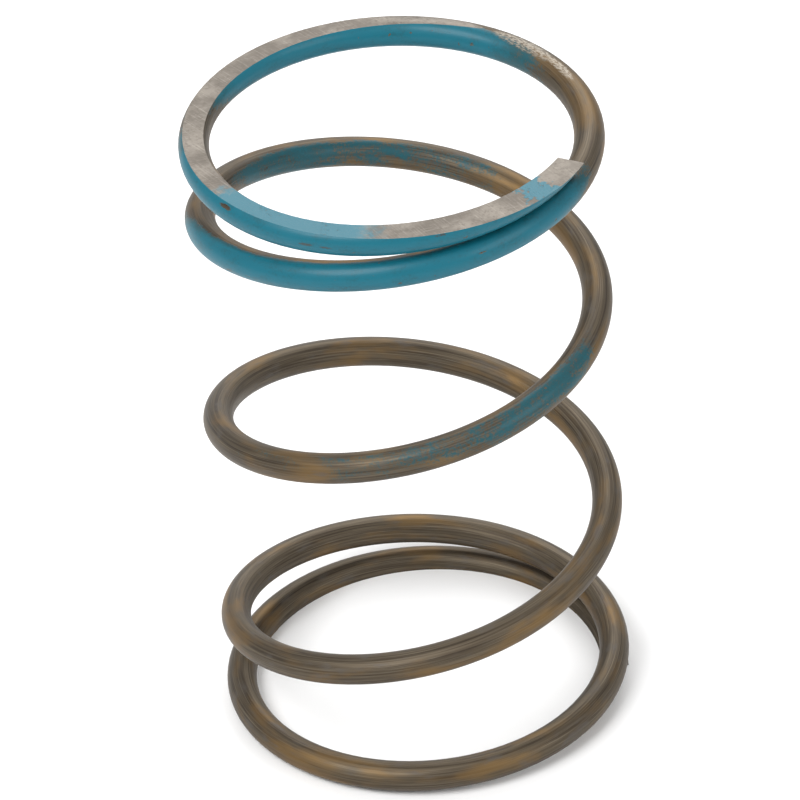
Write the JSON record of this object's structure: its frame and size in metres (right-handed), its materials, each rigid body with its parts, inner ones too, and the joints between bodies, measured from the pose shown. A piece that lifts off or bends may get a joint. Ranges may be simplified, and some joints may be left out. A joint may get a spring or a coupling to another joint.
{
  "type": "compression coil spring",
  "caption": "Right-hand compression coil spring of round oil-tempered wire with closed, ground ends and a teal colour-code coat on its upper end.",
  "frame": {"origin": "under mid-height of the coil axis, in the plane of the ground lower end", "axes": "+Z square to the ground ends, from the lower to the upper; the lower wire tip starts on +X"},
  "size_m": [0.062, 0.0657, 0.097],
  "materials": {
    "spring_wire": "oil-tempered brown-grey satin with fine draw lines",
    "painted_end": "glossy teal colour-code paint, thin and brushed over at its edge"
  },
  "bodies": {
    "lower_end": {"lower_end_coil": "spring_wire", "wire_span_01": "spring_wire"},
    "quarter_01": {"wire_span_02": "spring_wire", "wire_span_03": "spring_wire"},
    "quarter_02": {"wire_span_04": "spring_wire", "wire_span_05": "spring_wire"},
    "quarter_03": {"wire_span_06": "spring_wire", "wire_span_07": "spring_wire"},
    "quarter_04": {"wire_span_08": "spring_wire", "wire_span_09": "spring_wire"},
    "quarter_05": {"wire_span_10": "spring_wire", "wire_span_11": "spring_wire"},
    "quarter_06": {"wire_span_12": "spring_wire", "wire_span_13": "spring_wire"},
    "quarter_07": {"wire_span_14": "spring_wire", "wire_span_15": "spring_wire"},
    "quarter_08": {"wire_span_16": "spring_wire", "wire_span_17": "spring_wire"},
    "quarter_09": {"wire_span_18": "painted_end", "wire_span_19": "painted_end"},
    "quarter_10": {"wire_span_20": "painted_end", "wire_span_21": "painted_end"},
    "upper_end": {"wire_span_22": "painted_end", "upper_end_coil": "painted_end"}
  },
  "joints": [
    {"name": "coil_twist_01", "type": "hinge", "parent": "lower_end", "child": "quarter_01", "pos_m": [0.01112, 0.02458, 0.00536], "axis": [0.9207, -0.3848, -0.0649], "range_deg": [0, 7.2], "stiffness_Nm_per_rad": 6.9},
    {"name": "coil_twist_02", "type": "hinge", "parent": "quarter_01", "child": "quarter_02", "pos_m": [-0.02627, 0.00935, 0.01086], "axis": [0.3789, 0.9062, -0.1878], "range_deg": [0, 7.2], "stiffness_Nm_per_rad": 6.9},
    {"name": "coil_twist_03", "type": "hinge", "parent": "quarter_02", "child": "quarter_03", "pos_m": [-0.01083, -0.02766, 0.02084], "axis": [-0.9054, 0.367, -0.2134], "range_deg": [0, 14.4], "stiffness_Nm_per_rad": 6.9},
    {"name": "coil_twist_04", "type": "hinge", "parent": "quarter_03", "child": "quarter_04", "pos_m": [0.0265, -0.0118, 0.0292], "axis": [-0.3744, -0.914, -0.1561], "range_deg": [0, 14.4], "stiffness_Nm_per_rad": 6.9},
    {"name": "coil_twist_05", "type": "hinge", "parent": "quarter_04", "child": "quarter_05", "pos_m": [0.01099, 0.02595, 0.0364], "axis": [0.907, -0.3837, -0.1739], "range_deg": [0, 14.4], "stiffness_Nm_per_rad": 6.9},
    {"name": "coil_twist_06", "type": "hinge", "parent": "quarter_05", "child": "quarter_06", "pos_m": [-0.02641, 0.01085, 0.04578], "axis": [0.3759, 0.8974, -0.231], "range_deg": [0, 14.4], "stiffness_Nm_per_rad": 6.9},
    {"name": "coil_twist_07", "type": "hinge", "parent": "quarter_06", "child": "quarter_07", "pos_m": [-0.01097, -0.02613, 0.05632], "axis": [-0.9054, 0.367, -0.2134], "range_deg": [0, 14.4], "stiffness_Nm_per_rad": 6.9},
    {"name": "coil_twist_08", "type": "hinge", "parent": "quarter_07", "child": "quarter_08", "pos_m": [0.02636, -0.01027, 0.06467], "axis": [-0.3744, -0.914, -0.1561], "range_deg": [0, 14.4], "stiffness_Nm_per_rad": 6.9},
    {"name": "coil_twist_09", "type": "hinge", "parent": "quarter_08", "child": "quarter_09", "pos_m": [0.01085, 0.02747, 0.07187], "axis": [0.9069, -0.3836, -0.174], "range_deg": [0, 14.4], "stiffness_Nm_per_rad": 6.9},
    {"name": "coil_twist_10", "type": "hinge", "parent": "quarter_09", "child": "quarter_10", "pos_m": [-0.02655, 0.01236, 0.08086], "axis": [0.3776, 0.9027, -0.2061], "range_deg": [0, 7.2], "stiffness_Nm_per_rad": 6.9},
    {"name": "coil_twist_11", "type": "hinge", "parent": "quarter_10", "child": "upper_end", "pos_m": [-0.0111, -0.02472, 0.08892], "axis": [-0.9173, 0.3747, -0.1347], "range_deg": [0, 7.2], "stiffness_Nm_per_rad": 6.9}
  ],
  "couplings": [
    {"joint": "coil_twist_01", "follows": "coil_twist_03", "ratio": 0.5},
    {"joint": "coil_twist_02", "follows": "coil_twist_03", "ratio": 0.5},
    {"joint": "coil_twist_04", "follows": "coil_twist_03", "ratio": 1},
    {"joint": "coil_twist_05", "follows": "coil_twist_03", "ratio": 1},
    {"joint": "coil_twist_06", "follows": "coil_twist_03", "ratio": 1},
    {"joint": "coil_twist_07", "follows": "coil_twist_03", "ratio": 1},
    {"joint": "coil_twist_08", "follows": "coil_twist_03", "ratio": 1},
    {"joint": "coil_twist_09", "follows": "coil_twist_03", "ratio": 1},
    {"joint": "coil_twist_10", "follows": "coil_twist_03", "ratio": 0.5},
    {"joint": "coil_twist_11", "follows": "coil_twist_03", "ratio": 0.5}
  ]
}
